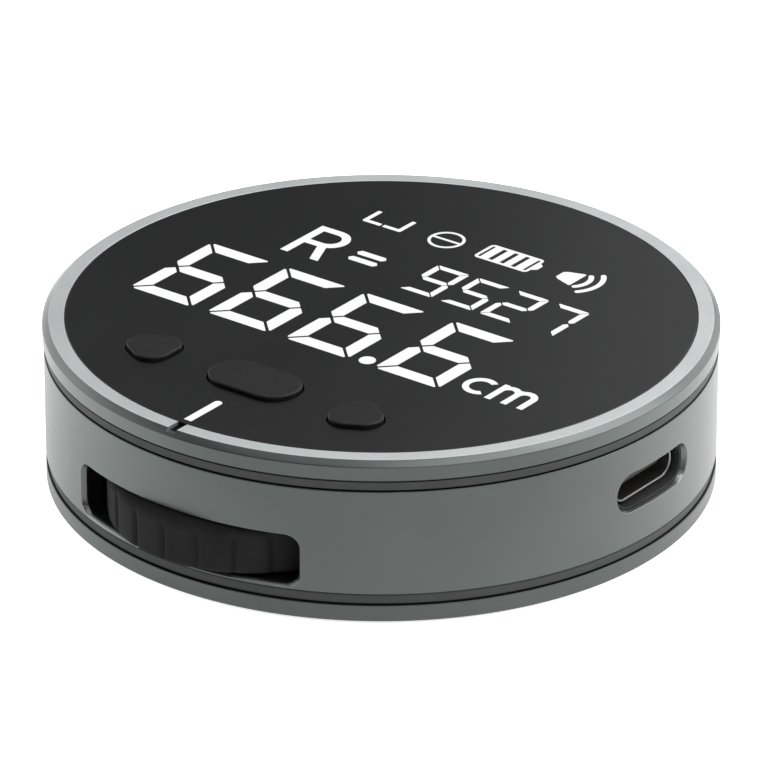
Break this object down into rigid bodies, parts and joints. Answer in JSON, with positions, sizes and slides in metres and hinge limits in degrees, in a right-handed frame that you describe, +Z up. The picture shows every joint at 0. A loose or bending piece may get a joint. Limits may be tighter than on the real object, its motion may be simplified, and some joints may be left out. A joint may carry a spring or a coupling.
{
  "type": "pocket measuring wheel",
  "caption": "Round pocket digital measuring wheel: metal puck with a rubber roller in a side slot, black lit display, keys, index line and charging port.",
  "frame": {"origin": "centre of the flat base, on the axis of the round body", "axes": "+Z up through the display; -Y towards the measuring wheel and the index line; +X towards the charging port"},
  "size_m": [0.0622, 0.0634, 0.0162],
  "materials": {
    "satin_metal": "satin, fine bead-blasted and anodised grey",
    "gloss_lens": "gloss black acrylic",
    "lit_white": "lit translucent white",
    "mark_white": "printed white",
    "black_plastic": "fine matt moulded",
    "key_rubber": "soft-touch matt black",
    "tyre_rubber": "matt black moulded rubber",
    "seal_rubber": "matt black seal",
    "white_plastic": "matt white moulded",
    "circuit_board": "green solder mask",
    "chip_black": "matt black moulded",
    "steel": "bright turned steel",
    "brass": "sintered brass",
    "cell_foil": "satin laminated foil",
    "tape": "foam tape",
    "wire": "smooth wire insulation"
  },
  "bodies": {
    "housing": {"bezel_ring": "satin_metal", "notch_insert": "black_plastic", "lens_panel": "gloss_lens", "index_mark": "mark_white", "main_digits": "lit_white", "side_digits": "lit_white", "unit_letters": "lit_white", "status_icons": "lit_white", "reflector_frame": "white_plastic", "display_board": "circuit_board", "display_leds": "lit_white", "button_guide": "black_plastic", "main_board": "circuit_board", "board_chips": "chip_black", "switch_bodies": "steel", "encoder_sensor": "chip_black", "usb_shell": "steel", "usb_tongue": "black_plastic", "port_sleeve": "black_plastic", "buzzer": "chip_black", "battery": "cell_foil", "battery_tape": "tape", "battery_leads": "wire", "body_band": "satin_metal", "inner_frame": "black_plastic", "wheel_cage": "black_plastic", "axle_bridge": "steel", "wheel_axle": "steel", "thrust_washers": "white_plastic", "upper_gasket": "seal_rubber", "lower_gasket": "seal_rubber", "bottom_cover": "satin_metal", "base_pad": "seal_rubber", "board_screws": "steel", "cover_screws": "steel"},
    "wheel": {"wheel_hub": "black_plastic", "hub_bushing": "brass", "wheel_tyre": "tyre_rubber", "encoder_disc": "white_plastic"},
    "left_key": {"left_button": "key_rubber", "left_plunger": "chip_black"},
    "middle_key": {"middle_button": "key_rubber", "middle_plunger": "chip_black"},
    "right_key": {"right_button": "key_rubber", "right_plunger": "chip_black"}
  },
  "joints": [
    {"name": "wheel_spin", "type": "hinge", "parent": "housing", "child": "wheel", "pos_m": [0, -0.019, 0.0059], "axis": [0, 0, 1], "continuous": true},
    {"name": "left_key_press", "type": "slide", "parent": "housing", "child": "left_key", "axis": [0, 0, -1], "range_m": [0, 0.00025], "stiffness_N_per_m": 400, "springref_m": -0.0002},
    {"name": "middle_key_press", "type": "slide", "parent": "housing", "child": "middle_key", "axis": [0, 0, -1], "range_m": [0, 0.00025], "stiffness_N_per_m": 400, "springref_m": -0.0002},
    {"name": "right_key_press", "type": "slide", "parent": "housing", "child": "right_key", "axis": [0, 0, -1], "range_m": [0, 0.00025], "stiffness_N_per_m": 400, "springref_m": -0.0002}
  ]
}
